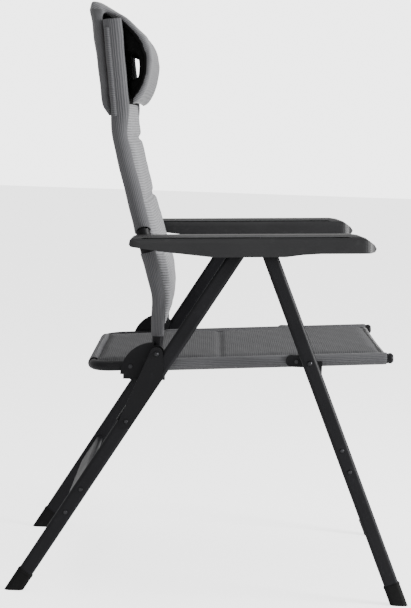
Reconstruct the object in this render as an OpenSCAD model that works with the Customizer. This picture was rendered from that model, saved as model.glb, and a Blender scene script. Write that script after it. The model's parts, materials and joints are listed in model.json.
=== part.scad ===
// Folding camp chair with a high reclining back, folding legs and a sliding head pillow.
// +X points to the front of the chair, +Z up, and the origin is on the floor under its middle.

/* [Stance] */
// Depth over the four feet
base_depth = 816; // [790:2:840]
// Lean of the rear legs from upright
rear_leg_angle = 31.6; // [31:0.1:32]
// Lean of the front legs from upright
front_leg_angle = 22.3; // [22:0.1:23]
// Height of the leg tops
leg_top_z = 712; // [700:1:714]

/* [Widths] */
// Middle of one seat side tube from the centre plane
seat_tube_y = 238; // [237:0.5:239]
// Middle of one back side tube from the centre plane
back_tube_y = 231; // [230:0.5:231]
// Middle of one rear leg from the centre plane
rear_leg_y = 264; // [263.5:0.5:264.5]
// Middle of one front leg from the centre plane
front_leg_y = 283; // [282.5:0.5:284]
// Middle of one armrest from the centre plane
armrest_y = 282; // [281.5:0.5:283]

/* [Seat] */
// Height of the seat tube at the rear corner
seat_rear_z = 457.5; // [455:0.5:460]
// Rise of the seat towards the front
seat_rise = 3.56; // [3.4:0.02:3.7]
// Front end of the seat tubes
seat_front_x = 352; // [340:1:360]
// Middle of the rear cross tube of the seat
seat_rear_x = -243; // [-246:1:-238]

/* [Back] */
// Lean of the middle of the back
back_lean = 15.5; // [15:0.1:16]
// Lean of the top of the back
top_lean = 6.9; // [6:0.1:8]
// Height of the top tube of the back
back_top_z = 1148; // [1140:1:1150]

/* [Tubes] */
// Width of a leg tube, seen from the side
leg_w = 30; // [29:0.5:31]
// Thickness of a leg tube
leg_t = 15; // [14:0.5:15]
// Wall of every tube
wall = 1.5; // [1.2:0.1:1.8]
// Radius of the seat tube
seat_r = 10; // [9:0.5:10]
// Radius of the back tube
back_r = 11; // [10:0.5:11]

/* [Hidden] */
$fn = 48;
SIDES = [-1, 1];
hinge = [-114, 492];            // rear pivot of legs, seat and back, as x and z
oval_steps = 18;                // facets round each end of a flat oval
cap_t = 1.6;                    // skin of a foot cap
cap_h = 46;                     // height of a foot cap
foot_half = leg_w / 2 + cap_t;
rear_foot_x = -(base_depth / 2 - foot_half / cos(rear_leg_angle));
front_foot_x = base_depth / 2 - foot_half / cos(front_leg_angle);
front_pivot = [front_foot_x - 486 * tan(front_leg_angle), 486];
spreader = [front_foot_x - 451 * tan(front_leg_angle), 451];
rear_len = leg_top_z / cos(rear_leg_angle);
front_len = leg_top_z / cos(front_leg_angle);
seat_bend = 42;                 // bend radius of the seat's rear corners
back_end = 8;                   // the back tube's end, below the hinge
low_bend = [hinge.x, 604];      // corner of the back tube above the seat
high_bend = [low_bend.x - tan(back_lean) * 322, low_bend.y + 322];
arm_pivot = low_bend + [-tan(back_lean), 1] * 108; // pivot of the armrests on the back
top_drop = 46;                  // bend radius of the back's top corners
top_end = [high_bend.x - tan(top_lean) * (back_top_z - high_bend.y), back_top_z];
rivet_low = 416;                // distance up the rear leg of the hinge plate's lower rivet
rear_bar_at = 221;              // distance up the rear leg of its cross bar
front_bar_at = 315;             // distance up the front leg of its cross bar
rear_screw_gap = 56;
front_screw_gap = 46;
bolt_r = 4;
bolt_play = 0.06;
bush_r = 6.5;
washer_t = 2.4;
cuff_r = 14.5;
cuff_half = 26;
pin_r = 4;
pin_drop = 9;                   // distance of the rack pin below the front leg's top
armrest_w = 60;
armrest_rise = 2.2;
arm_top = 17;                   // top of the armrest above its pivot
arm_round = 15;
crown_steps = 8;                // facets round each top edge of an armrest
skin = 3;
rack_at = 246;                  // first notch, along the armrest from its pivot
rack_pitch = 18;
rack_z = -12.6;                 // tips of the teeth, above the armrest's pivot line

rubber = [0.07, 0.07, 0.075];
paint = [0.13, 0.13, 0.14];
steel = [0.5, 0.5, 0.52];
mesh_grey = [0.42, 0.42, 0.44];
pad_grey = [0.6, 0.6, 0.62];

// Places children at a seat distance along the side tube, x along the tube and z square to it
module on_seat(x = 0) {
    translate([seat_rear_x, 0, seat_rear_z]) rotate([0, -seat_rise, 0]) translate([x, 0, 0]) children();
}

// Height of the seat tube's middle at a given x
function seat_z(x) = seat_rear_z + (x - seat_rear_x) * tan(seat_rise);

// A bar along y
module y_bar(x, z, y0, y1, r) {
    translate([x, y0, z]) rotate([-90, 0, 0]) cylinder(r = r, h = y1 - y0);
}

// Flat-oval rod along +z, wide in x
function oval_outline(w, t) = [for (s = SIDES, k = [0:oval_steps]) let (a = 180 * k / oval_steps - 90)
    s * [(w - t + t * cos(a)) / 2, t * sin(a) / 2]];

module oval(w, t, h) { linear_extrude(h) polygon(oval_outline(w, t)); }

// Puts children, drawn upright from the floor, in the place of a rear leg or a front leg
module at_rear_leg(side) {
    translate([rear_foot_x, side * rear_leg_y, 0]) rotate([0, rear_leg_angle, 0]) children();
}
module at_front_leg(side) {
    translate([front_foot_x, side * front_leg_y, 0]) rotate([0, -front_leg_angle, 0]) children();
}

// Straight round rod in the side plane from a to b
module side_rod(a, b, y, r) {
    d = b - a;
    translate([a.x, y, a.y]) rotate([0, atan2(d.x, d.y), 0]) cylinder(r = r, h = norm(d));
}

// ---- Seat ----

module seat_path(r, over) {
    long = (seat_front_x - seat_rear_x) / cos(seat_rise) - seat_bend;
    on_seat() {
        for (s = SIDES) {
            translate([seat_bend, s * seat_tube_y, 0]) rotate([0, 90, 0]) cylinder(r = r, h = long + over);
            translate([seat_bend, s * (seat_tube_y - seat_bend), 0]) rotate([0, 0, s > 0 ? 90 : 180])
                rotate_extrude(angle = 90) translate([seat_bend, 0]) circle(r = r);
        }
        rotate([90, 0, 0]) cylinder(r = r, h = 2 * (seat_tube_y - seat_bend), center = true);
    }
}

module seat_frame() {
    color(paint) difference() {
        seat_path(seat_r, 0);
        seat_path(seat_r - wall, 1);
        y_bar(front_pivot.x, front_pivot.y, -400, 400, bolt_r + 0.02);
    }
}

module seat_front_caps() {
    long = (seat_front_x - seat_rear_x) / cos(seat_rise);
    color(rubber) on_seat() for (s = SIDES) translate([long, s * seat_tube_y, 0]) rotate([0, 90, 0]) {
        translate([0, 0, 0.05]) cylinder(r = seat_r + 0.6, h = 5);
        translate([0, 0, 5]) cylinder(r1 = seat_r + 0.6, r2 = seat_r - 3, h = 4);
        translate([0, 0, -18]) cylinder(r = seat_r - wall - 0.05, h = 19);
    }
}

// Spreader under the seat: its ends meet the front brackets and its middle hangs clear of the sling
module seat_cross_bar() {
    half = seat_tube_y + 11;
    color(paint) difference() {
        y_bar(spreader.x, spreader.y, -half, half, 8);
        y_bar(spreader.x, spreader.y, -half - 1, half + 1, 8 - wall);
    }
}

module seat_sling() {
    long = (seat_front_x - seat_rear_x) / cos(seat_rise);
    color(mesh_grey) on_seat() difference() {
        translate([seat_r + 2, -(seat_tube_y - seat_r - 1.5), -5])
            cube([long - seat_r - 8, 2 * (seat_tube_y - seat_r - 1.5), 10]);
        for (s = SIDES) translate([0, s * seat_tube_y, 0])
            cube([2 * seat_bend + 2, 2 * seat_bend + 4, 20], center = true);
    }
}

// Moulded quadrant that grips the seat tube and carries the hinge bolt
module hinge_bracket(side) {
    y0 = seat_tube_y + 5.2;
    thick = 10.4;
    c = [-120, 446];
    color(rubber) difference() {
        translate([0, side > 0 ? y0 : -y0 - thick, 0]) {
            intersection() {
                translate([c.x, thick, c.y]) rotate([90, 0, 0]) cylinder(r = 66, h = thick, $fn = 96);
                translate([c.x - 66, 0, c.y]) cube([66, thick, 66]);
            }
            translate([c.x - 60, 0, c.y - 9]) cube([84, thick, 26]);
            y_bar(hinge.x, hinge.y, 0, thick, 15);
            translate([hinge.x - 12, 0, c.y]) cube([27, thick, hinge.y - c.y]);
        }
        on_seat(-20) translate([0, side * seat_tube_y, 0]) rotate([0, 90, 0])
            cylinder(r = seat_r + 0.02, h = 260);
        y_bar(hinge.x, hinge.y, side > 0 ? y0 - 1 : -y0 - 20, side > 0 ? y0 + 20 : 1 - y0, bolt_r + bolt_play);
    }
}

// Saddle on the seat tube, for the front leg's bolt and the spreader's end
module front_bracket(side) {
    y0 = seat_tube_y + 0.5;
    thick = 13;
    color(rubber) difference() {
        translate([0, side > 0 ? y0 : -y0 - thick, 0]) {
            translate([front_pivot.x - 34, 0, front_pivot.y - 14]) cube([34, thick, 24]);
            y_bar(front_pivot.x - 34, front_pivot.y - 2, 0, thick, 12);
            y_bar(front_pivot.x, front_pivot.y - 2, 0, thick, 14);
            translate([spreader.x - 13, 0, spreader.y]) cube([26, thick, front_pivot.y - spreader.y]);
            y_bar(spreader.x, spreader.y, 0, thick, 13);
        }
        on_seat(200) translate([0, side * seat_tube_y, 0]) rotate([0, 90, 0])
            cylinder(r = seat_r + 0.02, h = 400);
        y_bar(front_pivot.x, front_pivot.y, side > 0 ? y0 - 2 : -y0 - 20, side > 0 ? y0 + 20 : 2 - y0,
              bolt_r + 0.02);
        y_bar(spreader.x, spreader.y, side > 0 ? y0 - 2 : -y0 - 10.6, side > 0 ? y0 + 10.6 : 2 - y0, 8.02);
    }
}

// A bolt along y with a domed head outside
module side_bolt(x, z, y_in, y_out, r, head_r) {
    y_bar(x, z, y_in, y_out, r);
    intersection() {
        translate([x, y_out, z]) sphere(r = head_r, $fn = 40);
        y_bar(x, z, y_out - 0.05, y_out + head_r, head_r + 1);
    }
}

// Both hinge bolts: each runs from a nut inside the back tube out to the hinge plate
module hinge_bolts() {
    y_nut = back_tube_y - back_r - washer_t - 0.4;
    color(steel) for (s = SIDES) mirror([0, s > 0 ? 0 : 1, 0]) {
        side_bolt(hinge.x, hinge.y, y_nut - 3, rear_leg_y + leg_t / 2 + 3.3, bolt_r, 5.2);
        y_bar(hinge.x, hinge.y, y_nut - 4.5, y_nut, 7);
    }
}

module front_pivot_bolts() {
    color(steel) for (s = SIDES) mirror([0, s > 0 ? 0 : 1, 0]) {
        side_bolt(front_pivot.x, front_pivot.y, seat_tube_y - seat_r, front_leg_y + leg_t / 2 + 0.4, bolt_r, 5.2);
    }
}

// Rivets that hold the brackets to the seat tube
module bracket_rivets() {
    color(steel) for (s = SIDES) mirror([0, s > 0 ? 0 : 1, 0]) {
        y_bar(hinge.x - 52, seat_z(hinge.x - 52), seat_tube_y + 15.6, seat_tube_y + 17.4, 4);
        y_bar(front_pivot.x - 25, seat_z(front_pivot.x - 25), seat_tube_y + 13.5, seat_tube_y + 15.2, 4);
    }
}

// ---- Legs ----

// Hollow leg with its top cut square, from the foot cap's floor upwards
module leg_tube(len) {
    difference() {
        translate([0, 0, 14]) oval(leg_w, leg_t, len - 14);
        translate([0, 0, 13]) oval(leg_w - 2 * wall, leg_t - 2 * wall, len);
    }
}

// Foot cap: a sleeve with a flat sole on the floor
module foot(angle) {
    reach = foot_half;
    difference() {
        union() {
            translate([0, 0, -30]) oval(leg_w + 2 * cap_t, leg_t + 2 * cap_t, 30 + cap_h);
            for (s = SIDES) translate([0, 0, cap_h - 5]) oval(leg_w + 2 * cap_t + 1, leg_t + 2 * cap_t + 1, 3);
        }
        translate([0, 0, 13.98]) oval(leg_w + 0.04, leg_t + 0.04, 60);
        rotate([0, angle, 0]) translate([-80, -30, -60]) cube([160, 60, 60]);
    }
}

// Plug in the top of a leg
module top_plug(len) {
    translate([0, 0, len + 0.05]) oval(leg_w, leg_t, 3);
    translate([0, 0, len - 16]) oval(leg_w - 2 * wall - 0.1, leg_t - 2 * wall - 0.1, 17);
}

// Cross hole through a leg, given up the leg
module leg_hole(up, across, r) {
    translate([across, 0, up]) rotate([90, 0, 0]) cylinder(r = r, h = 40, center = true);
}

module rear_leg(side) {
    color(paint) at_rear_leg(side) difference() {
        leg_tube(rear_len);
        leg_hole(rivet_low, 0, 3.05);
        for (s = SIDES) leg_hole(rear_bar_at + s * rear_screw_gap / 2, 0, 3.05);
    }
}

module rear_foot(side) { color(rubber) at_rear_leg(side) foot(-rear_leg_angle); }

module rear_top_plugs() { color(rubber) for (s = SIDES) at_rear_leg(s) top_plug(rear_len); }

// Cross bar between two legs: a wide flat oval
module leg_bar(up, half, w) {
    difference() {
        translate([0, half, up]) rotate([90, 0, 0]) rotate([0, 0, 90]) oval(w, 14, 2 * half);
        translate([0, half + 1, up]) rotate([90, 0, 0]) rotate([0, 0, 90]) oval(w - 3, 11, 2 * half + 2);
    }
}

module rear_cross_bar() {
    color(paint) translate([rear_foot_x, 0, 0]) rotate([0, rear_leg_angle, 0])
        leg_bar(rear_bar_at, rear_leg_y - leg_t / 2 - 0.05, 74);
}

// Moulded hinge plate on a rear leg: an outer face, a lip behind the leg and a boss in to the bracket
module hinge_plate(side) {
    y0 = leg_t / 2 + 0.05;
    thick = 3;
    low = [rear_foot_x + rivet_low * sin(rear_leg_angle), rivet_low * cos(rear_leg_angle)];
    top = low + 112 * [sin(rear_leg_angle), cos(rear_leg_angle)];
    color(rubber) mirror([0, side > 0 ? 0 : 1, 0]) difference() {
        union() {
            translate([0, rear_leg_y + y0, 0]) hull() {
                y_bar(hinge.x, hinge.y, 0, thick, 13);
                y_bar(low.x, low.y, 0, thick, 14);
                y_bar(top.x, top.y, 0, thick, 13);
            }
            y_bar(hinge.x, hinge.y, seat_tube_y + 16, rear_leg_y + y0 + 1, 8.8);
            at_rear_leg(1) translate([-leg_w / 2 - 3.05, -leg_t / 2, rivet_low - 8]) cube([3, leg_t + 1, 100]);
        }
        y_bar(hinge.x, hinge.y, 200, 400, bolt_r + bolt_play);
        y_bar(low.x, low.y, 200, 400, 3.05);
    }
}

module leg_screws(ups, y_out) {
    for (up = ups) translate([0, 0, up]) rotate([-90, 0, 0]) {
        translate([0, 0, -leg_t / 2 - 5]) cylinder(r = 3, h = leg_t + 5 + y_out);
        translate([0, 0, leg_t / 2 + y_out]) intersection() {
            sphere(r = 4.6, $fn = 40);
            translate([0, 0, -0.02]) cylinder(r = 6, h = 3.2);
        }
    }
}

module hinge_plate_rivets() {
    color(steel) for (s = SIDES) mirror([0, s > 0 ? 0 : 1, 0])
        at_rear_leg(1) leg_screws([rivet_low], 3.1);
}

module rear_bar_screws() {
    color(steel) for (s = SIDES) mirror([0, s > 0 ? 0 : 1, 0])
        at_rear_leg(1) leg_screws([for (k = SIDES) rear_bar_at + k * rear_screw_gap / 2], 0.05);
}

module front_leg(side) {
    color(paint) difference() {
        at_front_leg(side) difference() {
            leg_tube(front_len);
            for (s = SIDES) leg_hole(front_bar_at + s * front_screw_gap / 2, 0, 3.05);
            leg_hole(front_len - pin_drop, 0, pin_r + 0.05);
        }
        y_bar(front_pivot.x, front_pivot.y, -400, 400, bolt_r + bolt_play);
    }
}

module front_foot(side) { color(rubber) at_front_leg(side) foot(front_leg_angle); }

module front_cross_bar() {
    color(paint) translate([front_foot_x, 0, 0]) rotate([0, -front_leg_angle, 0])
        leg_bar(front_bar_at, front_leg_y - leg_t / 2 - 0.05, 58);
}

module front_bar_screws() {
    color(steel) for (s = SIDES) mirror([0, s > 0 ? 0 : 1, 0])
        at_front_leg(1) leg_screws([for (k = SIDES) front_bar_at + k * front_screw_gap / 2], 0.05);
}

module front_top_plugs() {
    color(rubber) for (s = SIDES) at_front_leg(s) difference() {
        top_plug(front_len);
        leg_hole(front_len - pin_drop, 0, pin_r + 0.05);
    }
}

// Pins at the front legs' tops, which lie under the racks
module rack_pins() {
    color(steel) for (s = SIDES) mirror([0, s > 0 ? 0 : 1, 0]) at_front_leg(1)
        translate([0, -leg_t / 2 - 0.5, front_len - pin_drop]) rotate([-90, 0, 0]) cylinder(r = pin_r, h = 29);
}

// Spacers between the front brackets and the front legs
module front_pivot_spacers() {
    y0 = seat_tube_y + 13.6;
    y1 = front_leg_y - leg_t / 2 - 0.1;
    color(rubber) for (s = SIDES) mirror([0, s > 0 ? 0 : 1, 0]) difference() {
        y_bar(front_pivot.x, front_pivot.y, y0, y1, 9);
        y_bar(front_pivot.x, front_pivot.y, y0 - 1, y1 + 1, bolt_r + 0.02);
    }
}

// ---- Back ----

// The back frame's tube: two straight stretches a side, joined by small knees, under a bent top
module back_path(r, over) {
    stretch = (top_end.y - high_bend.y) / cos(top_lean) - top_drop;
    for (s = SIDES) {
        y = s * back_tube_y;
        side_rod([hinge.x, hinge.y - back_end - over], low_bend, y, r);
        side_rod(low_bend, high_bend, y, r);
        for (knee = [low_bend, high_bend]) translate([knee.x, y, knee.y]) sphere(r = r + 0.1);
    }
    translate([top_end.x, 0, top_end.y]) rotate([0, -top_lean, 0]) {
        for (s = SIDES) {
            translate([0, s * back_tube_y, -top_drop - stretch]) cylinder(r = r, h = stretch);
            translate([0, s * (back_tube_y - top_drop), -top_drop]) rotate([0, -90, 0])
                rotate([0, 0, s > 0 ? 0 : -90]) rotate_extrude(angle = 90) translate([top_drop, 0]) circle(r = r);
        }
        rotate([90, 0, 0]) cylinder(r = r, h = 2 * (back_tube_y - top_drop), center = true);
    }
}

module back_frame() {
    color(paint) difference() {
        back_path(back_r, 0);
        back_path(back_r - wall, 1);
        y_bar(hinge.x, hinge.y, -400, 400, bush_r + 0.05);
        y_bar(arm_pivot.x, arm_pivot.y, -400, 400, bolt_r + 0.02);
    }
}

// Padded mesh panel between the side tubes: flat behind, thin at its foot and full above it
module back_panel() {
    half = back_tube_y - cuff_r - 5;
    behind = 6;
    front = 28;
    top = high_bend + (top_end - high_bend) * 0.78;
    knee = low_bend + (high_bend - low_bend) * 0.14;
    color(pad_grey) translate([0, half, 0]) rotate([90, 0, 0]) linear_extrude(2 * half)
        polygon([[hinge.x - behind, 532], low_bend - [behind, 0], high_bend - [behind, 0], top - [behind, 0],
                 top + [front, 0], high_bend + [front, 0], knee + [front, 0], low_bend + [18, 0],
                 [hinge.x + 14, 572], [hinge.x + 9, 532]]);
}

// Cuff round a back tube that carries the armrest bolt
module armrest_cuff(side) {
    color(rubber) mirror([0, side > 0 ? 0 : 1, 0]) difference() {
        cuff_rod(cuff_r, cuff_half);
        cuff_rod(back_r + 0.02, cuff_half + 1);
        y_bar(arm_pivot.x, arm_pivot.y, 200, 260, bolt_r + 0.02);
    }
}
module cuff_rod(r, half) {
    translate([arm_pivot.x, back_tube_y, arm_pivot.y]) rotate([0, -back_lean, 0])
        cylinder(r = r, h = 2 * half, center = true);
}

// Flanged bushes of the hinge, in the back tube's lower ends, with a broad flange on each side
module back_pivot_bushes() {
    color(steel) for (s = SIDES) mirror([0, s > 0 ? 0 : 1, 0]) difference() {
        union() {
            y_bar(hinge.x, hinge.y, back_tube_y - back_r - 0.2, back_tube_y + back_r + 0.3, bush_r);
            y_bar(hinge.x, hinge.y, back_tube_y + back_r + 0.2, back_tube_y + back_r + 0.9, bush_r + 6.5);
            y_bar(hinge.x, hinge.y, back_tube_y - back_r - washer_t - 0.1, back_tube_y - back_r - 0.1,
                  bush_r + 6.5);
        }
        y_bar(hinge.x, hinge.y, 200, 300, bolt_r + bolt_play);
    }
}

// Armrest bolts: a nut inside the back tube's span and a flat head inside each armrest
module armrest_bolts() {
    y_in = back_tube_y - cuff_r;
    y_wall = armrest_y - armrest_w / 2 + skin;
    color(steel) for (s = SIDES) mirror([0, s > 0 ? 0 : 1, 0]) {
        y_bar(arm_pivot.x, arm_pivot.y, y_in - 4, y_wall + 1, bolt_r);
        y_bar(arm_pivot.x, arm_pivot.y, y_in - 4.5, y_in - 0.1, 7);
        y_bar(arm_pivot.x, arm_pivot.y, y_wall + 0.4, y_wall + 3.4, 8);
    }
}

module armrest_bush(side) {
    y0 = back_tube_y + cuff_r + 0.3;
    y1 = armrest_y - armrest_w / 2 - 0.3;
    color(steel) mirror([0, side > 0 ? 0 : 1, 0]) difference() {
        y_bar(arm_pivot.x, arm_pivot.y, y0, y1, 13);
        y_bar(arm_pivot.x, arm_pivot.y, y0 - 1, y1 + 1, bolt_r + bolt_play);
    }
}

// ---- Armrests ----

// Frame of an armrest: x runs along it from its pivot, y out from the chair's centre plane
module on_armrest(side) {
    mirror([0, side > 0 ? 0 : 1, 0]) translate([arm_pivot.x, armrest_y, arm_pivot.y])
        rotate([0, -armrest_rise, 0]) children();
}

// Extrudes a side outline across the armrest
module across(w) { translate([0, w / 2, 0]) rotate([90, 0, 0]) linear_extrude(w) children(); }

// Cross-section of width w and height h with both top corners rounded
function section(w, h, r) = concat([[-w / 2, 0], [w / 2, 0]], [for (k = [0:2 * crown_steps + 1])
    let (right = k <= crown_steps, a = 90 * (right ? k : k - 1) / crown_steps)
    [(right ? 1 : -1) * (w / 2 - r) + r * cos(a), h - r + r * sin(a)]]);

// Open-bottomed shell: the side outline, the rounded cross-section and the plan are intersected
module armrest(side) {
    h = 60;
    color(rubber) on_armrest(side) difference() {
        intersection() {
            across(armrest_w) polygon([
                [-30, -1], [-28, 8], [-22, 14], [-12, arm_top], [402, arm_top], [420, arm_top - 3],
                [438, 7], [451, -3], [457, -12], [453, -18], [443, -20], [346, -20], [310, -22],
                [278, -26], [137, -26], [92, -21], [33, -14], [-12, -7], [-26, -5]]);
            translate([-40, 0, arm_top - h]) rotate([90, 0, 90]) linear_extrude(520)
                polygon(section(armrest_w, h, arm_round));
            translate([209, 0, -40]) linear_extrude(80) polygon(oval_outline(498, armrest_w));
        }
        across(armrest_w - 2 * skin) polygon([
            [-8, -60], [-8, 10], [0, arm_top - 4], [398, arm_top - 4], [415, arm_top - 8], [425, -60]]);
        rotate([90, 0, 0]) cylinder(r = bolt_r + bolt_play, h = 100);
    }
}

// Toothed strip under the armrest's top: seven notches over the rack pin
module armrest_rack(side) {
    from = rack_at - 18;
    color(rubber) on_armrest(side) difference() {
        translate([from, armrest_w / 2 - skin - 15, rack_z])
            cube([6 * rack_pitch + 36, 14.9, arm_top - 4.05 - rack_z]);
        for (k = [0:6]) translate([rack_at + k * rack_pitch, 0, rack_z - 1.5]) rotate([-90, 0, 0])
            cylinder(r = 5.5, h = 60);
        for (x = [from + 9, from + 6 * rack_pitch + 27]) translate([x, armrest_w / 2 - skin - 8, rack_z - 1])
            cylinder(r = 2.05, h = 40);
    }
}

module rack_screws(side) {
    from = rack_at - 18;
    color(steel) on_armrest(side) for (x = [from + 9, from + 6 * rack_pitch + 27])
        translate([x, armrest_w / 2 - skin - 8, rack_z - 1.6]) {
            cylinder(r = 2, h = arm_top - 5 - rack_z);
            cylinder(r = 3.6, h = 1.5);
        }
}

// ---- Head pillow ----

// Stuffed cushion in front of the back's top, with a hood over the top tube and down the rear
module head_pillow() {
    half = 225;
    color(pad_grey) translate([0, half, 0]) rotate([90, 0, 0]) linear_extrude(2 * half) polygon([
        [-237, 955], [-262, 1150], [-271, 1181], [-264, 1190], [-252, 1186], [-195, 1155], [-156, 1122],
        [-136, 1090], [-128, 1052], [-136, 1015], [-148, 988], [-162, 974],
        [-172, 980], [-177, 1005], [-189, 1105], [-204, 1146],
        [-222, 1164], [-240, 1168], [-252, 1164], [-254, 1148], [-229, 955]]);
}

seat_frame();
seat_cross_bar();
seat_front_caps();
seat_sling();
hinge_bracket(1);  // hinge_bracket_left
hinge_bracket(-1);  // hinge_bracket_right
front_bracket(1);  // front_bracket_left
front_bracket(-1);  // front_bracket_right
hinge_bolts();
front_pivot_bolts();
front_pivot_spacers();
bracket_rivets();
rear_leg(1);  // rear_leg_left
rear_leg(-1);  // rear_leg_right
rear_cross_bar();
rear_foot(1);  // rear_foot_left
rear_foot(-1);  // rear_foot_right
rear_top_plugs();
hinge_plate(1);  // hinge_plate_left
hinge_plate(-1);  // hinge_plate_right
hinge_plate_rivets();
rear_bar_screws();
front_leg(1);  // front_leg_left
front_leg(-1);  // front_leg_right
front_cross_bar();
front_foot(1);  // front_foot_left
front_foot(-1);  // front_foot_right
front_top_plugs();
rack_pins();
front_bar_screws();
back_pivot_bushes();
back_frame();
back_panel();
armrest_bolts();
armrest_cuff(1);  // armrest_cuff_left
armrest_cuff(-1);  // armrest_cuff_right
armrest_bush(1);  // armrest_bush_left
armrest_bush(-1);  // armrest_bush_right
armrest(1);  // armrest_left
armrest(-1);  // armrest_right
armrest_rack(1);  // armrest_rack_left
armrest_rack(-1);  // armrest_rack_right
rack_screws(1);  // rack_screws_left
rack_screws(-1);  // rack_screws_right
head_pillow();
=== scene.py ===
import json
import math
import bmesh
import bpy
from mathutils import Matrix, Vector


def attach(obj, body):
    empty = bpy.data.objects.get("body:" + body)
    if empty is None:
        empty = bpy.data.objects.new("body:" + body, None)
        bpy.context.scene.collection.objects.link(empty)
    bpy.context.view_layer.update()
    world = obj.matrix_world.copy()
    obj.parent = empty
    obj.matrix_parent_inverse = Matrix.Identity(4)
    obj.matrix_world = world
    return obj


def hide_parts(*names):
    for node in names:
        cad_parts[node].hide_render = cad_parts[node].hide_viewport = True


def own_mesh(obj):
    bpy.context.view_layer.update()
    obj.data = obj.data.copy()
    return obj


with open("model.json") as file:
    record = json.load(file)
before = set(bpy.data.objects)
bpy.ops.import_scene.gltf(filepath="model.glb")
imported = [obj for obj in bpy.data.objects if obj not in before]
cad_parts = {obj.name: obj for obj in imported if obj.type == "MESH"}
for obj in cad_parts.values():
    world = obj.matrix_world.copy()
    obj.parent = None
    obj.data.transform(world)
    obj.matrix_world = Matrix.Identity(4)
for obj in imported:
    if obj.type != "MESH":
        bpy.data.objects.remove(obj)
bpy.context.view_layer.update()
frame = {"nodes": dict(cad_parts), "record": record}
record = frame["record"]
joints = {j["name"]: j for j in record["behaviour"]["joints"]}
slots = {s["node"]: s["material_slot"] for s in record["subparts"]}
sides = {"left": 1, "right": -1}
mm = 0.001

shot = {
    "place": (-0.014, -3.505, 0.947),
    "pitch": 6.21,  # down
    "yaw": 0.10,  # towards -X
    "roll": 1.94,
    "lens": 143.66,
    "sensor": 36.0,
}


def wire(tree, source, target):
    tree.links.new(source, target)


def calc(tree, operation, first, second=None):
    node = tree.nodes.new("ShaderNodeMath")
    node.operation = operation
    for k, value in enumerate((first, second)):
        if value is None:
            continue
        if isinstance(value, (int, float)):
            node.inputs[k].default_value = value
        else:
            wire(tree, value, node.inputs[k])
    return node.outputs[0]


def addCamera():
    pitch, yaw, roll = (math.radians(shot[k]) for k in ("pitch", "yaw", "roll"))
    look = Vector((-math.sin(yaw) * math.cos(pitch), math.cos(yaw) * math.cos(pitch), -math.sin(pitch)))
    across = Vector((math.cos(yaw), math.sin(yaw), 0))
    up = across.cross(look)
    right = math.cos(roll) * across + math.sin(roll) * up
    top = -math.sin(roll) * across + math.cos(roll) * up
    turn = Matrix((right, top, -look)).transposed()
    bpy.ops.object.camera_add()
    camera = bpy.context.object
    camera.name = "sideCamera"
    camera.matrix_world = Matrix.Translation(shot["place"]) @ turn.to_4x4()
    camera.data.sensor_fit = "HORIZONTAL"
    camera.data.sensor_width = shot["sensor"]
    camera.data.lens = shot["lens"]
    bpy.context.scene.camera = camera


def addLight(name, place, aim, size, power):
    bpy.ops.object.light_add(type="AREA", location=place)
    light = bpy.context.object
    light.name = name
    light.data.shape = "DISK"
    light.data.size = size
    light.data.energy = power
    light.rotation_euler = (Vector(aim) - Vector(place)).to_track_quat("-Z", "Y").to_euler()


stage = {
    "size": 40,
    "paper": (0.86, 0.90),  # darkest and lightest
    "grain": 90,
    "floorGlow": 2.2,  # only what the camera sees, so the floor looks pale
    "skyGlow": 3.2,  # the same for the sky
    "skyLight": 0.75,
}


def addStage():
    bpy.ops.mesh.primitive_plane_add(size=stage["size"])
    floor = bpy.context.object
    floor.name = "studioFloor"
    paper = bpy.data.materials.new("palePaper")
    paper.use_nodes = True
    tree = paper.node_tree
    shader = tree.nodes["Principled BSDF"]
    shader.inputs["Roughness"].default_value = 0.9
    shader.inputs["Emission Color"].default_value = (1, 1, 1, 1)
    seen = tree.nodes.new("ShaderNodeLightPath")
    glow = calc(tree, "MULTIPLY", seen.outputs["Is Camera Ray"], stage["floorGlow"])
    wire(tree, glow, shader.inputs["Emission Strength"])
    place = tree.nodes.new("ShaderNodeTexCoord")
    grain = tree.nodes.new("ShaderNodeTexNoise")
    grain.inputs["Scale"].default_value = stage["grain"]
    tint = tree.nodes.new("ShaderNodeValToRGB")
    for element, shade in zip(tint.color_ramp.elements, stage["paper"]):
        element.color = (shade, shade, shade, 1)
    tree.links.new(place.outputs["Object"], grain.inputs["Vector"])
    tree.links.new(grain.outputs["Fac"], tint.inputs["Fac"])
    tree.links.new(tint.outputs["Color"], shader.inputs["Base Color"])
    floor.data.materials.append(paper)
    world = bpy.data.worlds.new("softBox")
    bpy.context.scene.world = world
    world.use_nodes = True
    sky = world.node_tree.nodes["Background"]
    sky.inputs["Color"].default_value = (1, 1, 1, 1)
    ray = world.node_tree.nodes.new("ShaderNodeLightPath")
    glow = calc(world.node_tree, "MULTIPLY", ray.outputs["Is Camera Ray"], stage["skyGlow"])
    wire(world.node_tree, calc(world.node_tree, "ADD", glow, stage["skyLight"]), sky.inputs["Strength"])


addCamera()
addStage()
lights = {
    # place, aim, size in metres and power in watts
    "keyFront": ((3.0, -0.9, 1.35), (0, 0, 0.7), 1.2, 190),
    "fillCamera": ((-1.0, -3.4, 1.9), (0, 0, 0.6), 2.2, 16),
    "topSoft": ((-0.2, 0.3, 3.4), (0, 0, 0.5), 1.8, 26),
}
for lightName, values in lights.items():
    addLight(lightName, *values)
print("camera, floor and light are in place")


def newGroup(name, inputs, outputs):
    group = bpy.data.node_groups.new(name, "ShaderNodeTree")
    for label, kind, value in inputs:
        socket = group.interface.new_socket(label, in_out="INPUT", socket_type=kind)
        if value is not None:
            socket.default_value = value
    for label, kind in outputs:
        group.interface.new_socket(label, in_out="OUTPUT", socket_type=kind)
    return group, group.nodes.new("NodeGroupInput"), group.nodes.new("NodeGroupOutput")


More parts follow.
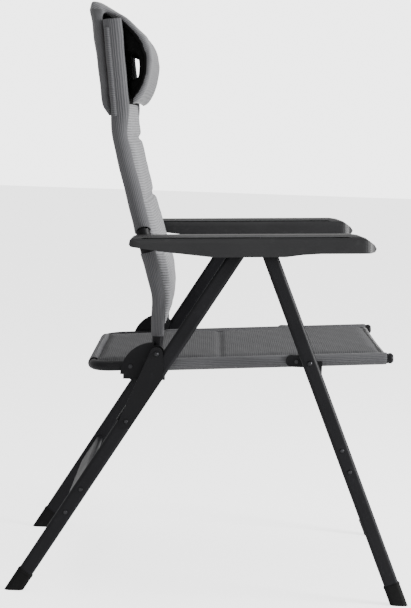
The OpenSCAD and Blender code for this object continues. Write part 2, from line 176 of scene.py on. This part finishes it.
def ribWeaveGroup():
    # x runs across the ribs, y along them, both in metres on the cloth
    group, given, made = newGroup(
        "ribWeave",
        [("Vector", "NodeSocketVector", None),
         ("Rib", "NodeSocketFloat", 5 * mm),
         ("Hole", "NodeSocketFloat", 2 * mm)],
        [("Height", "NodeSocketFloat"), ("Tone", "NodeSocketFloat")],
    )
    split = group.nodes.new("ShaderNodeSeparateXYZ")
    wire(group, given.outputs["Vector"], split.inputs[0])
    waver = group.nodes.new("ShaderNodeTexNoise")
    waver.inputs["Scale"].default_value = 55
    wire(group, given.outputs["Vector"], waver.inputs["Vector"])
    drift = calc(group, "MULTIPLY", calc(group, "SUBTRACT", waver.outputs["Fac"], 0.5), 0.0022)
    across = calc(group, "ADD", split.outputs["X"], drift)

    def swing(value, period):
        turns = calc(group, "DIVIDE", value, period)
        wave = calc(group, "SINE", calc(group, "MULTIPLY", turns, 2 * math.pi))
        return calc(group, "ADD", calc(group, "MULTIPLY", wave, 0.5), 0.5)

    rib = swing(across, given.outputs["Rib"])
    hole = calc(group, "MULTIPLY", swing(split.outputs["X"], given.outputs["Hole"]),
                swing(split.outputs["Y"], given.outputs["Hole"]))
    height = calc(group, "ADD", calc(group, "MULTIPLY", rib, 0.75), calc(group, "MULTIPLY", hole, 0.25))
    wire(group, height, made.inputs["Height"])
    mottle = group.nodes.new("ShaderNodeTexNoise")
    mottle.inputs["Scale"].default_value = 420
    wire(group, given.outputs["Vector"], mottle.inputs["Vector"])
    cloud = group.nodes.new("ShaderNodeTexNoise")
    cloud.inputs["Scale"].default_value = 9
    wire(group, given.outputs["Vector"], cloud.inputs["Vector"])
    shares = ((rib, 0.42), (mottle.outputs["Fac"], 0.36), (cloud.outputs["Fac"], 0.24))
    parts = [calc(group, "MULTIPLY", source, share) for source, share in shares]
    tone = calc(group, "ADD", calc(group, "ADD", parts[0], parts[1]), parts[2])
    wire(group, tone, made.inputs["Tone"])
    return group


def grainGroup():
    # fine moulding grain, broad blotches and sparse scuffs
    group, given, made = newGroup(
        "surfaceGrain",
        [("Vector", "NodeSocketVector", None),
         ("Fine", "NodeSocketFloat", 900.0),
         ("Broad", "NodeSocketFloat", 14.0)],
        [("Height", "NodeSocketFloat"), ("Blotch", "NodeSocketFloat"), ("Scuff", "NodeSocketFloat")],
    )
    fine = group.nodes.new("ShaderNodeTexNoise")
    fine.inputs["Detail"].default_value = 4
    broad = group.nodes.new("ShaderNodeTexNoise")
    broad.inputs["Detail"].default_value = 3
    scratch = group.nodes.new("ShaderNodeTexNoise")
    scratch.inputs["Scale"].default_value = 60
    scratch.inputs["Detail"].default_value = 8
    for node in (fine, broad, scratch):
        wire(group, given.outputs["Vector"], node.inputs["Vector"])
    wire(group, given.outputs["Fine"], fine.inputs["Scale"])
    wire(group, given.outputs["Broad"], broad.inputs["Scale"])
    wire(group, fine.outputs["Fac"], made.inputs["Height"])
    wire(group, broad.outputs["Fac"], made.inputs["Blotch"])
    band = group.nodes.new("ShaderNodeMapRange")
    band.inputs["From Min"].default_value = 0.62
    band.inputs["From Max"].default_value = 0.72
    wire(group, scratch.outputs["Fac"], band.inputs["Value"])
    wire(group, band.outputs["Result"], made.inputs["Scuff"])
    return group


ribWeave = ribWeaveGroup()
surfaceGrain = grainGroup()


def mixColour(tree, fac, dark, light):
    mix = tree.nodes.new("ShaderNodeMix")
    mix.data_type = "RGBA"
    mix.inputs["A"].default_value = (*dark, 1)
    mix.inputs["B"].default_value = (*light, 1)
    wire(tree, fac, mix.inputs["Factor"])
    return mix.outputs["Result"]


def startMaterial(name):
    material = bpy.data.materials.new(name)
    material.use_nodes = True
    tree = material.node_tree
    return material, tree, tree.nodes["Principled BSDF"]


def addBump(tree, shader, height, strength, distance):
    bump = tree.nodes.new("ShaderNodeBump")
    bump.inputs["Strength"].default_value = strength
    bump.inputs["Distance"].default_value = distance
    wire(tree, height, bump.inputs["Height"])
    wire(tree, bump.outputs["Normal"], shader.inputs["Normal"])


def placeGroup(tree, group, vector, **values):
    node = tree.nodes.new("ShaderNodeGroup")
    node.node_tree = group
    wire(tree, vector, node.inputs["Vector"])
    for label, value in values.items():
        node.inputs[label].default_value = value
    return node


def meshCloth(name, dark, light, rib=5.2 * mm, hole=1.7 * mm, depth=0.5, sheen=0.25):
    material, tree, shader = startMaterial(name)
    where = tree.nodes.new("ShaderNodeAttribute")
    where.attribute_name = "cloth"
    weave = placeGroup(tree, ribWeave, where.outputs["Vector"], Rib=rib, Hole=hole)
    wire(tree, mixColour(tree, weave.outputs["Tone"], dark, light), shader.inputs["Base Color"])
    shader.inputs["Roughness"].default_value = 0.92
    shader.inputs["Sheen Weight"].default_value = sheen
    shader.inputs["Sheen Roughness"].default_value = 0.5
    shader.inputs["Specular IOR Level"].default_value = 0.25
    addBump(tree, shader, weave.outputs["Height"], depth, 0.7 * mm)
    return material


def moulded(name, dark, light, rough, fine, depth, metal=0.0, gloss=0.2, scuff=0.5):
    material, tree, shader = startMaterial(name)
    where = tree.nodes.new("ShaderNodeTexCoord")
    grain = placeGroup(tree, surfaceGrain, where.outputs["Object"], Fine=fine)
    amount = calc(tree, "ADD", calc(tree, "MULTIPLY", grain.outputs["Blotch"], 0.6),
                  calc(tree, "MULTIPLY", grain.outputs["Scuff"], scuff))
    wire(tree, mixColour(tree, amount, dark, light), shader.inputs["Base Color"])
    low = calc(tree, "MULTIPLY", grain.outputs["Blotch"], 0.16)
    wire(tree, calc(tree, "ADD", low, rough - 0.08), shader.inputs["Roughness"])
    shader.inputs["Metallic"].default_value = metal
    shader.inputs["Specular IOR Level"].default_value = gloss
    addBump(tree, shader, grain.outputs["Height"], depth, 0.3 * mm)
    return material


finishes = {
    "frame_paint": moulded("framePaint", (0.005, 0.005, 0.006), (0.013, 0.013, 0.015), 0.46, 1400, 0.18,
                           gloss=0.16),
    "foot_rubber": moulded("footRubber", (0.004, 0.004, 0.004), (0.010, 0.010, 0.010), 0.7, 700, 0.35,
                           gloss=0.12),
    "armrest_plastic": moulded("armrestPlastic", (0.005, 0.005, 0.006), (0.014, 0.014, 0.015), 0.42, 1100,
                               0.3, gloss=0.45),
    "black_plastic": moulded("blackNylon", (0.004, 0.004, 0.005), (0.010, 0.010, 0.011), 0.5, 1000, 0.3,
                             gloss=0.16),
    "dark_steel": moulded("darkSteel", (0.03, 0.03, 0.032), (0.07, 0.07, 0.075), 0.36, 1600, 0.2,
                          metal=0.9),
}
# one mesh fabric in two copies: the pad copy is lighter as painted light from the front, and the sleeve copy
# is darker as painted shade on the sides turned away from the light
padClothLit = meshCloth("padClothLit", (0.06, 0.06, 0.064), (0.34, 0.34, 0.352), rib=5.2 * mm, depth=0.7)
pillowCloth = meshCloth("pillowCloth", (0.045, 0.045, 0.048), (0.215, 0.215, 0.224), rib=4.2 * mm, depth=0.6)
seatCloth = meshCloth("seatCloth", (0.02, 0.02, 0.021), (0.10, 0.10, 0.104), rib=4.2 * mm, sheen=0.03)
sleeveClothShaded = meshCloth("sleeveClothShaded", (0.02, 0.02, 0.022), (0.135, 0.135, 0.142), rib=3.6 * mm, depth=0.6,
                        sheen=0.1)
hoodCloth = meshCloth("hoodCloth", (0.03, 0.03, 0.032), (0.13, 0.13, 0.136), rib=2.9 * mm)
# painted shade: a near-black copy of the mesh cloth for places that lie in shade under and inside the pillow
paintedShadeCloth = meshCloth("paintedShadeCloth", (0.002, 0.002, 0.002), (0.006, 0.006, 0.006), sheen=0.0)
bindingCloth = meshCloth("bindingCloth", (0.018, 0.018, 0.019), (0.055, 0.055, 0.058), rib=2.4 * mm,
                         depth=0.3)
for nodeName, node in frame["nodes"].items():
    finish = finishes.get(slots[nodeName])
    if finish:
        node.data.materials.clear()
        node.data.materials.append(finish)
print("materials are made")


def deselectAll():
    if bpy.context.object and bpy.context.object.mode != "OBJECT":
        bpy.ops.object.mode_set(mode="OBJECT")
    bpy.ops.object.select_all(action="DESELECT")


def activate(piece):
    deselectAll()
    piece.select_set(True)
    bpy.context.view_layer.objects.active = piece


def useModifier(piece, kind, **values):
    activate(piece)
    modifier = piece.modifiers.new(kind.title(), kind)
    for label, value in values.items():
        setattr(modifier, label, value)
    bpy.ops.object.modifier_apply(modifier=modifier.name)


def loft(name, ringSides, stations, openEnds=False):
    # each station: centre, direction of depth, direction of width, half depth, half width
    deselectAll()
    if ringSides == 4:
        bpy.ops.mesh.primitive_plane_add(size=2)
    else:
        bpy.ops.mesh.primitive_circle_add(vertices=ringSides, radius=1, fill_type="NGON")
    piece = bpy.context.object
    piece.name = name
    bpy.ops.object.mode_set(mode="EDIT")
    bpy.ops.mesh.select_all(action="SELECT")
    ring = None
    for centre, deep, wide, halfDeep, halfWide in stations:
        if ring is not None:
            bpy.ops.mesh.extrude_region_move()
        work = bmesh.from_edit_mesh(piece.data)
        picked = [v for v in work.verts if v.select]
        if ring is None:
            local = [(v.co.x, v.co.y) for v in picked]
        else:
            oldCentre, oldDeep, oldWide, oldHalfDeep, oldHalfWide = ring
            local = []
            for v in picked:
                offset = v.co - oldCentre
                local.append((offset.dot(oldDeep) / oldHalfDeep, offset.dot(oldWide) / oldHalfWide))
        centre, deep, wide = Vector(centre), Vector(deep).normalized(), Vector(wide).normalized()
        for v, (a, b) in zip(picked, local):
            v.co = centre + deep * a * halfDeep + wide * b * halfWide
        bmesh.update_edit_mesh(piece.data)
        ring = (centre, deep, wide, halfDeep, halfWide)
    bpy.ops.mesh.select_all(action="SELECT")
    bpy.ops.mesh.normals_make_consistent(inside=False)
    bpy.ops.object.mode_set(mode="OBJECT")
    if openEnds:
        work = bmesh.new()
        work.from_mesh(piece.data)
        ends = [f for f in work.faces if len(f.verts) > 4]
        bmesh.ops.delete(work, geom=ends, context="FACES_ONLY")
        work.to_mesh(piece.data)
        work.free()
    return piece


def smoothPath(points, steps):
    # a curve through the points, with even steps between each pair
    out = []
    for k in range(len(points) - 1):
        a = Vector(points[max(k - 1, 0)])
        b, c = Vector(points[k]), Vector(points[k + 1])
        d = Vector(points[min(k + 2, len(points) - 1)])
        for s in range(steps):
            t = s / steps
            out.append(0.5 * ((2 * b) + (c - a) * t + (2 * a - 5 * b + 4 * c - d) * t * t
                              + (3 * b - a - 3 * c + d) * t ** 3))
    out.append(Vector(points[-1]))
    return out


filling = {
    "smoothing": 3,
    "quality": 4,
    "mass": 0.25,
    "stiffness": 12,
    "bending": 0.4,
    "frames": 20,
}


def puff(piece, voxel, pressure, cap):
    # a short simulation under pressure, with no point moving further than the cap
    useModifier(piece, "REMESH", mode="VOXEL", voxel_size=voxel)
    useModifier(piece, "SMOOTH", iterations=filling["smoothing"])
    start = [v.co.copy() for v in piece.data.vertices]
    activate(piece)
    cloth = piece.modifiers.new("Cloth", "CLOTH")
    cloth.settings.use_pressure = True
    cloth.settings.uniform_pressure_force = pressure
    cloth.settings.effector_weights.gravity = 0
    cloth.settings.quality = filling["quality"]
    cloth.settings.mass = filling["mass"]
    cloth.settings.tension_stiffness = filling["stiffness"]
    cloth.settings.compression_stiffness = filling["stiffness"]
    cloth.settings.bending_stiffness = filling["bending"]
    scene = bpy.context.scene
    for step in range(1, filling["frames"] + 1):
        scene.frame_set(step)
    bpy.ops.object.modifier_apply(modifier=cloth.name)
    scene.frame_set(1)
    for v, old in zip(piece.data.vertices, start):
        move = v.co - old
        if move.length > cap:
            v.co = old + move * (cap / move.length)
    useModifier(piece, "SUBSURF", levels=1, render_levels=1)


def setCloth(piece, where):
    layer = piece.data.attributes.get("cloth") or piece.data.attributes.new("cloth", "FLOAT_VECTOR", "POINT")
    for v, spot in zip(piece.data.vertices, layer.data):
        spot.vector = where(v.co)


def finishPiece(piece, body, material, where):
    piece.data.materials.clear()
    piece.data.materials.append(material)
    setCloth(piece, where)
    activate(piece)
    bpy.ops.object.shade_smooth_by_angle(angle=math.radians(55))
    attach(piece, body)


back = {
    "hinge": joints["recline"]["pos_m"],
    "lowKnee": 0.604,
    "highKnee": 0.926,
    "lean": math.radians(15.5),
    "topLean": math.radians(6.9),
    "tubeY": 0.231,
    "kneeReach": 14 * mm,  # how far a knee is rounded
}


def tubeX(z):
    x = back["hinge"][0]
    x -= math.tan(back["lean"]) * min(max(z - back["lowKnee"], 0), back["highKnee"] - back["lowKnee"])
    return x - math.tan(back["topLean"]) * max(z - back["highKnee"], 0)


def softX(z):
    reach = back["kneeReach"]
    return (tubeX(z - reach) + tubeX(z) * 2 + tubeX(z + reach)) / 4


def acrossTube(z):
    # forwards and square to the tube, in the side plane
    reach = 5 * mm
    along = Vector((softX(z + reach) - softX(z - reach), 0, 2 * reach)).normalized()
    return Vector((along.z, 0, -along.x))


def between(table, z):
    # straight-line reading of a table of (height, value) pairs
    for (z0, a), (z1, b) in zip(table, table[1:]):
        if z <= z1:
            return a + (b - a) * min(max((z - z0) / (z1 - z0), 0), 1)
    return table[-1][1]


backSleeve = {
    "low": 0.523,
    "cuffLow": joints["armrest_fold_left"]["pos_m"][2] - 20 * mm,
    "cuffHigh": joints["armrest_fold_left"]["pos_m"][2] + 18 * mm,
    "high": 1.150,
    # height in metres, then millimetres
    "radius": [(0.52, 13.2), (0.60, 13.4), (0.70, 15.4), (0.77, 16.2), (0.84, 16.4), (0.92, 15.0),
               (0.97, 18.6), (1.16, 18.6)],
    "forward": [(0.52, 0), (0.92, 0), (0.98, 7.3), (1.16, 7.3)],
    "cloth": 1.3 * mm,
    "arch": 10 * mm,
    "archHeight": 30 * mm,
    "flare": 3.2 * mm,  # over the cuff
    "flareReach": 20 * mm,
    "halfWidth": 13.4 * mm,
    "ringStep": 12 * mm,
    "slack": 0.7 * mm,
    "squareFrom": 0.9,  # height where the round sleeve begins to turn into a flatter panel
    "squareOver": 0.06,
    "squareness": 0.72,
}


def addBackSleeve(name, side, low, high, arched):
    count = max(int((high - low) / backSleeve["ringStep"]), 4)
    stations = []
    for k in range(count + 1):
        z = low + (high - low) * k / count
        deep = acrossTube(z)
        r = between(backSleeve["radius"], z) * mm - backSleeve["cloth"]
        x = softX(z) + between(backSleeve["forward"], z) * mm
        gap = min(abs(z - backSleeve["cuffLow"]), abs(z - backSleeve["cuffHigh"]))
        near = max(1 - gap / backSleeve["flareReach"], 0)
        wide = min(r, backSleeve["halfWidth"]) + near * backSleeve["flare"]
        stations.append(((x, side * back["tubeY"], z), deep, (0, 1, 0), r + near * 1 * mm, wide))
    piece = loft(name, 28, stations, openEnds=True)
    if arched:
        for v in piece.data.vertices:
            if v.co.z < low + backSleeve["archHeight"]:
                out = max(side * v.co.y - back["tubeY"], 0) / (13 * mm)
                fade = 1 - (v.co.z - low) / backSleeve["archHeight"]
                v.co.z += backSleeve["arch"] * out * max(fade, 0)
    for v in piece.data.vertices:  # a flatter panel beside the pillow, and slack in the cloth
        square = min(max((v.co.z - backSleeve["squareFrom"]) / backSleeve["squareOver"], 0), 1)
        middle = softX(v.co.z) + between(backSleeve["forward"], v.co.z) * mm
        r = between(backSleeve["radius"], v.co.z) * mm
        share = min(max((v.co.x - middle) / r, -1), 1)
        flat = math.copysign(abs(share) ** backSleeve["squareness"], share)
        v.co.x += (flat - share) * r * square
        wave = math.sin(v.co.z * 61 + side) * math.sin(v.co.z * 23 + 2 * side)
        v.co.x += backSleeve["slack"] * wave
    useModifier(piece, "SOLIDIFY", thickness=backSleeve["cloth"], offset=1)
    useModifier(piece, "SUBSURF", levels=1, render_levels=1)

    def where(p):
        angle = math.atan2(side * p.y - back["tubeY"], p.x - softX(p.z))
        return (angle * 15 * mm, p.z, 0)

    finishPiece(piece, "back", sleeveClothShaded, where)
    return piece


for sideName, side in sides.items():
    addBackSleeve("backSleeveLower_" + sideName, side, backSleeve["low"], backSleeve["cuffLow"], False)
    addBackSleeve("backSleeveUpper_" + sideName, side, backSleeve["cuffHigh"], backSleeve["high"], True)
print("back sleeves are on")

backPad = {
    "half": 0.213,
    "behind": 3.0,
    # height in metres, then millimetres ahead of the tube
    "front": [(0.535, 6), (0.56, 12), (0.59, 16), (0.615, 19), (0.64, 22), (0.667, 23), (0.70, 20),
              (0.755, 18), (0.80, 14), (0.89, 15), (0.95, 17), (0.975, 16), (1.0, 13), (1.09, 11), (1.1, 8)],
    "low": 0.535,
    "high": 1.098,
    "rings": 44,
    "edge": 7 * mm,
    "seams": (0.916, 0.795, 0.690),
    "seamWidth": 6 * mm,
    "seamDepth": 4.5 * mm,
    "crown": 3 * mm,
    "wrinkle": 0.5 * mm,
    "paintedShadeFrom": 0.985,
    "voxel": 5 * mm,
    "pressure": 4.0,
    "cap": 7 * mm,
}


def addBackPad():
    stations = []
    low, high = backPad["low"], backPad["high"]
    for k in range(backPad["rings"] + 1):
        z = low + (high - low) * k / backPad["rings"]
        deep = acrossTube(z)
        front = between(backPad["front"], z) * mm
        rear = -backPad["behind"] * mm
        x = softX(z) + (front + rear) / 2
        stations.append(((x, 0, z), deep, (0, 1, 0), (front - rear) / 2, backPad["half"]))
    piece = loft("backPad", 4, stations)
    useModifier(piece, "BEVEL", width=backPad["edge"], segments=3, limit_method="ANGLE",
                angle_limit=math.radians(50))
    puff(piece, backPad["voxel"], backPad["pressure"], backPad["cap"])
    for v in piece.data.vertices:
        deep = acrossTube(v.co.z)
        out = (v.co - Vector((softX(v.co.z), 0, v.co.z))).dot(deep)
        front = between(backPad["front"], v.co.z) * mm
        share = max(out, 0) / max(front, 1 * mm)
        for seam in backPad["seams"]:
            dip = math.exp(-((v.co.z - seam) / backPad["seamWidth"]) ** 2)
            v.co -= deep * dip * share * backPad["seamDepth"]
        middle = 1 - (v.co.y / backPad["half"]) ** 2  # the middle is a little fuller
        v.co += deep * share * max(middle, 0) * backPad["crown"]
        wrinkle = math.sin(v.co.y * 70 + v.co.z * 35) * math.sin(v.co.z * 90)
        v.co += deep * share * wrinkle * backPad["wrinkle"]
    finishPiece(piece, "back", padClothLit, lambda p: (p.z, p.y, p.x))
    piece.data.materials.append(paintedShadeCloth)
    for face in piece.data.polygons:  # painted shade: the stretch under the pillow gets near-black cloth
        face.material_index = 1 if face.center.z > backPad["paintedShadeFrom"] and face.normal.x > -0.3 else 0
    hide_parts("back_panel")


addBackPad()
print("back pad is filled")

pillow = {
    # side outline in millimetres: up the front, over the top, down behind the back, and back up inside
    "shell": [(-180, 984), (-172, 987), (-163, 997), (-155, 1011), (-149, 1031), (-145, 1052), (-144, 1071),
              (-148, 1099), (-158, 1118), (-175, 1133), (-196, 1152), (-232, 1172), (-252, 1183),
              (-265, 1187), (-270, 1180), (-262, 1148), (-250, 1080), (-238, 1000), (-233, 976),
              (-216, 951), (-226, 1000), (-236, 1080), (-246, 1148), (-248, 1162), (-237, 1165),
              (-209, 1148), (-182, 1127), (-165, 1106), (-156, 1081), (-156, 1048), (-162, 1028),
              (-171, 1010), (-181, 996)],
    "core": [(-186, 992), (-172, 1002), (-163, 1024), (-155, 1046), (-154, 1082), (-162, 1106), (-178, 1128),
             (-196, 1140), (-206, 1138), (-200, 1112), (-194, 1089), (-170, 1085), (-166, 1062), (-168, 1036),
             (-184, 1032), (-187, 1012)],
    "half": 0.224,
    "coreHalf": 0.186,
    "swell": 3 * mm,
    "voxel": 4.5 * mm,
    "pressure": 3.0,
    "hoodSpread": 0.078,
    "wrinkle": 0.8 * mm,
}


def profileBlock(name, outline, half, steps):
    # a side outline drawn as one face and pulled across the chair
    deselectAll()
    bpy.ops.mesh.primitive_circle_add(vertices=len(outline), radius=0.1, fill_type="NGON")
    piece = bpy.context.object
    piece.name = name
    bpy.ops.object.mode_set(mode="EDIT")
    work = bmesh.from_edit_mesh(piece.data)
    work.verts.ensure_lookup_table()
    for v, (x, z) in zip(work.verts, outline):
        v.co = Vector((x * mm, -half, z * mm))
    bmesh.update_edit_mesh(piece.data)
    bpy.ops.mesh.select_all(action="SELECT")
    for k in range(steps):
        bpy.ops.mesh.extrude_region_move(TRANSFORM_OT_translate={"value": (0, 2 * half / steps, 0)})
    bpy.ops.mesh.select_all(action="SELECT")
    bpy.ops.mesh.normals_make_consistent(inside=False)
    bpy.ops.object.mode_set(mode="OBJECT")
    return piece


def alongShell(p):
    # the front of the cushion by height, the top by its reach
    return (p.z - 0.6 * p.x, p.y, p.x)


def addHeadPillow():
    shell = profileBlock("headPillow", pillow["shell"], pillow["half"], 8)
    puff(shell, pillow["voxel"], pillow["pressure"], pillow["swell"])
    for v in shell.data.vertices:
        behindTube = min(max((softX(v.co.z) - 6 * mm - v.co.x) / (8 * mm), 0), 1)
        belowTop = min(max((1.182 - v.co.z) / 0.07, 0), 1)
        v.co.y *= 1 + pillow["hoodSpread"] * behindTube * belowTop  # the hood reaches round behind the tubes
        edge = max(abs(v.co.y) - 0.15, 0) / (pillow["half"] - 0.15)
        if v.co.x > -0.2:  # the belly is fullest in the middle
            v.co.x += (1 - edge ** 2) * 2 * mm - 1 * mm
        wrinkle = math.sin(v.co.y * 52 + v.co.z * 20) * math.sin(v.co.z * 75)
        v.co.x += pillow["wrinkle"] * wrinkle
    finishPiece(shell, "head_pillow", pillowCloth, alongShell)
    shell.data.materials.append(hoodCloth)
    shell.data.materials.append(paintedShadeCloth)
    # painted shade: the inner faces of the pillow shell get the near-black cloth
    for face in shell.data.polygons:
        c, n = face.center, face.normal
        behind = c.x < -0.2215 - (c.z - 0.956) * 0.1 and c.z < 1.168
        inner = c.x > -0.225 and n.x < -0.2 and c.z < 1.15 and abs(n.y) < 0.8
        face.material_index = 2 if inner else (1 if behind else 0)
    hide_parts("head_pillow")
    # painted shade: the core inside the pillow is clad all over in the near-black cloth
    core = profileBlock("pillowCore", pillow["core"], pillow["coreHalf"], 8)
    puff(core, pillow["voxel"], pillow["pressure"], pillow["swell"])
    finishPiece(core, "head_pillow", paintedShadeCloth, alongShell)


def addPiping(name, points, radius, body, material, steps=3):
    path = smoothPath(points, steps)
    stations = []
    for k, p in enumerate(path):
        ahead = (path[min(k + 1, len(path) - 1)] - path[max(k - 1, 0)]).normalized()
        wide = Vector((0, 1, 0)) if abs(ahead.y) < 0.7 else Vector((0, 0, 1))
        deep = wide.cross(ahead).normalized()
        stations.append((p, deep, ahead.cross(deep), radius, radius))
    piece = loft(name, 10, stations)
    useModifier(piece, "SUBSURF", levels=1, render_levels=1)
    start = path[0]
    finishPiece(piece, body, material, lambda p: ((p - start).length, p.y + p.z, 0))
    return piece


def addStitchRow(name, start, step, count, body):
    # one short thread, repeated along a straight seam
    deselectAll()
    bpy.ops.mesh.primitive_uv_sphere_add(segments=8, ring_count=6, radius=1)
    piece = bpy.context.object
    piece.name = name
    piece.location = start
    piece.scale = (0.55 * mm, 0.55 * mm, Vector(step).length * 0.34)
    piece.rotation_euler = Vector(step).to_track_quat("Z", "Y").to_euler()
    bpy.ops.object.transform_apply(location=True, rotation=True, scale=True)
    useModifier(piece, "ARRAY", count=count, use_relative_offset=False, use_constant_offset=True,
                constant_offset_displace=step)
    finishPiece(piece, body, bindingCloth, lambda p: (p.x, p.y, p.z))


addHeadPillow()
trims = {
    "welt": {"low": 0.958, "length": 0.175, "behind": 4 * mm, "out": 12 * mm, "radius": 5.2 * mm},
    "binding": {"low": 0.545, "length": 0.42, "ahead": 12 * mm, "y": 0.2172, "radius": 1.8 * mm},
}
for sideName, side in sides.items():
    welt = []
    for k in range(9):
        z = trims["welt"]["low"] + trims["welt"]["length"] * k / 8
        welt.append((softX(z) - trims["welt"]["behind"], side * (back["tubeY"] + trims["welt"]["out"]), z))
    addPiping("backWelt_" + sideName, welt, trims["welt"]["radius"], "back", sleeveClothShaded)
    seam = []
    for k in range(28):
        z = trims["binding"]["low"] + trims["binding"]["length"] * k / 27
        seam.append((softX(z) + trims["binding"]["ahead"], side * trims["binding"]["y"], z))
    addPiping("backBinding_" + sideName, seam, trims["binding"]["radius"], "back", bindingCloth)
print("head pillow is made")

seat = {
    "rear": (-0.243, 0.4575),
    "front": 0.352,
    "rise": math.radians(3.56),
    "tubeY": 0.238,
    "sleeveStart": -0.120,
    "sleeveEnd": 0.348,
    "sleeve": 12.4 * mm,
    "half": 0.219,
    "top": 9.0 * mm,
    "bottom": 7.0 * mm,
    "swell": 4 * mm,
    "seams": (-0.118, 0.014),
    "seamWidth": 7 * mm,
    "seamDepth": 2.4 * mm,
    "crown": 3 * mm,
    "sag": 2 * mm,
    "wrinkle": 0.4 * mm,
    "voxel": 5 * mm,
    "pressure": 4.0,
    "wrapHalf": 0.192,
    "wrapRadius": 11.6 * mm,
    "cloth": 1.2 * mm,
    "bindingY": 0.2235,
    "bindingLength": 0.463,
    "hemHalf": 0.222,
    "hemRadius": 5.5 * mm,
    "hemCurve": 3 * mm,
    "keepFolded": 0.35,
}


def seatZ(x):
    return seat["rear"][1] + (x - seat["rear"][0]) * math.tan(seat["rise"])


def addSeatPad():
    low, high, count = seat["rear"][0] - 4 * mm, seat["front"] - 6 * mm, 40
    stations = []
    for k in range(count + 1):
        x = low + (high - low) * k / count
        top, bottom = seat["top"] - seat["swell"], seat["bottom"] - seat["swell"]
        z = seatZ(x) + (top - bottom) / 2
        stations.append(((x, 0, z), (0, 0, 1), (0, 1, 0), (top + bottom) / 2, seat["half"] - 2 * mm))
    piece = loft("seatPad", 4, stations)
    puff(piece, seat["voxel"], seat["pressure"], seat["swell"] + 2 * mm)
    for v in piece.data.vertices:
        up = v.co.z - seatZ(v.co.x)
        share = min(max(up / seat["top"], -1), 1)
        for line in seat["seams"]:
            v.co.z -= math.exp(-((v.co.x - line) / seat["seamWidth"]) ** 2) * share * seat["seamDepth"]
        middle = 1 - (v.co.y / seat["half"]) ** 2
        v.co.z += max(middle, 0) * (seat["crown"] if up > 0 else -seat["sag"])
        v.co.z += math.sin(v.co.y * 60 + v.co.x * 30) * math.sin(v.co.x * 85) * seat["wrinkle"]
    finishPiece(piece, "seat", seatCloth, lambda p: (p.x, p.y, p.z))
    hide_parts("seat_sling")
    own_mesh(piece)


def addSeatSleeve(sideName, side):
    stations = []
    for k in range(41):
        x = seat["sleeveStart"] + (seat["sleeveEnd"] - seat["sleeveStart"]) * k / 40
        r = seat["sleeve"] - seat["cloth"]
        stations.append(((x, side * seat["tubeY"], seatZ(x)), (0, 0, 1), (0, 1, 0), r, r))
    piece = loft("seatSleeve_" + sideName, 28, stations, openEnds=True)
    useModifier(piece, "SOLIDIFY", thickness=seat["cloth"], offset=1)
    useModifier(piece, "SUBSURF", levels=1, render_levels=1)

    def where(p):
        angle = math.atan2(p.z - seatZ(p.x), side * p.y - seat["tubeY"])
        return (angle * seat["sleeve"], p.x, 0)

    finishPiece(piece, "seat", sleeveClothShaded, where)


def addRearWrap():
    stations = []
    for k in range(33):
        y = seat["wrapHalf"] * (k / 16 - 1)
        r = seat["wrapRadius"]
        stations.append(((seat["rear"][0], y, seat["rear"][1]), (1, 0, 0), (0, 0, 1), r, r))
    piece = loft("seatRearWrap", 28, stations, openEnds=True)
    useModifier(piece, "SOLIDIFY", thickness=seat["cloth"], offset=1)
    useModifier(piece, "SUBSURF", levels=1, render_levels=1)
    finishPiece(piece, "seat", sleeveClothShaded, lambda p: (p.z - p.x, p.y, 0))


addSeatPad()
addRearWrap()
for sideName, side in sides.items():
    addSeatSleeve(sideName, side)
    groove = []
    for k in range(24):
        x = seat["sleeveStart"] + seat["bindingLength"] * k / 23
        groove.append((x, side * seat["bindingY"], seatZ(x) + 6 * mm))
    addPiping("seatBinding_" + sideName, groove, 1.7 * mm, "seat", bindingCloth)
hem = []
for k in range(13):
    share = k / 6 - 1
    x = seat["front"] - 6 * mm - (1 - share ** 2) * seat["hemCurve"]
    hem.append((x, share * seat["hemHalf"], seatZ(seat["front"]) + 1 * mm))
for sideName, side in sides.items():
    pitch = 6 * mm  # from stitch to stitch
    first = seat["sleeveStart"] + pitch
    start = (first, side * (seat["tubeY"] - 6 * mm), seatZ(first) + 11.2 * mm)
    step = (pitch, 0, pitch * math.tan(seat["rise"]))
    addStitchRow("seatStitch_" + sideName, start, step, 75, "seat")
    step = (-pitch * math.tan(back["lean"]), 0, pitch)
    for label, low, count in (("Lower", 0.632, 8), ("Upper", 0.748, 25)):
        r = between(backSleeve["radius"], low + 0.5 * count * pitch) * mm
        start = (softX(low) - r * 0.52, side * (back["tubeY"] + 11.9 * mm), low)
        addStitchRow("backStitch" + label + "_" + sideName, start, step, count, "back")
addPiping("seatFrontHem", hem, seat["hemRadius"], "seat", bindingCloth)
print("seat is padded")
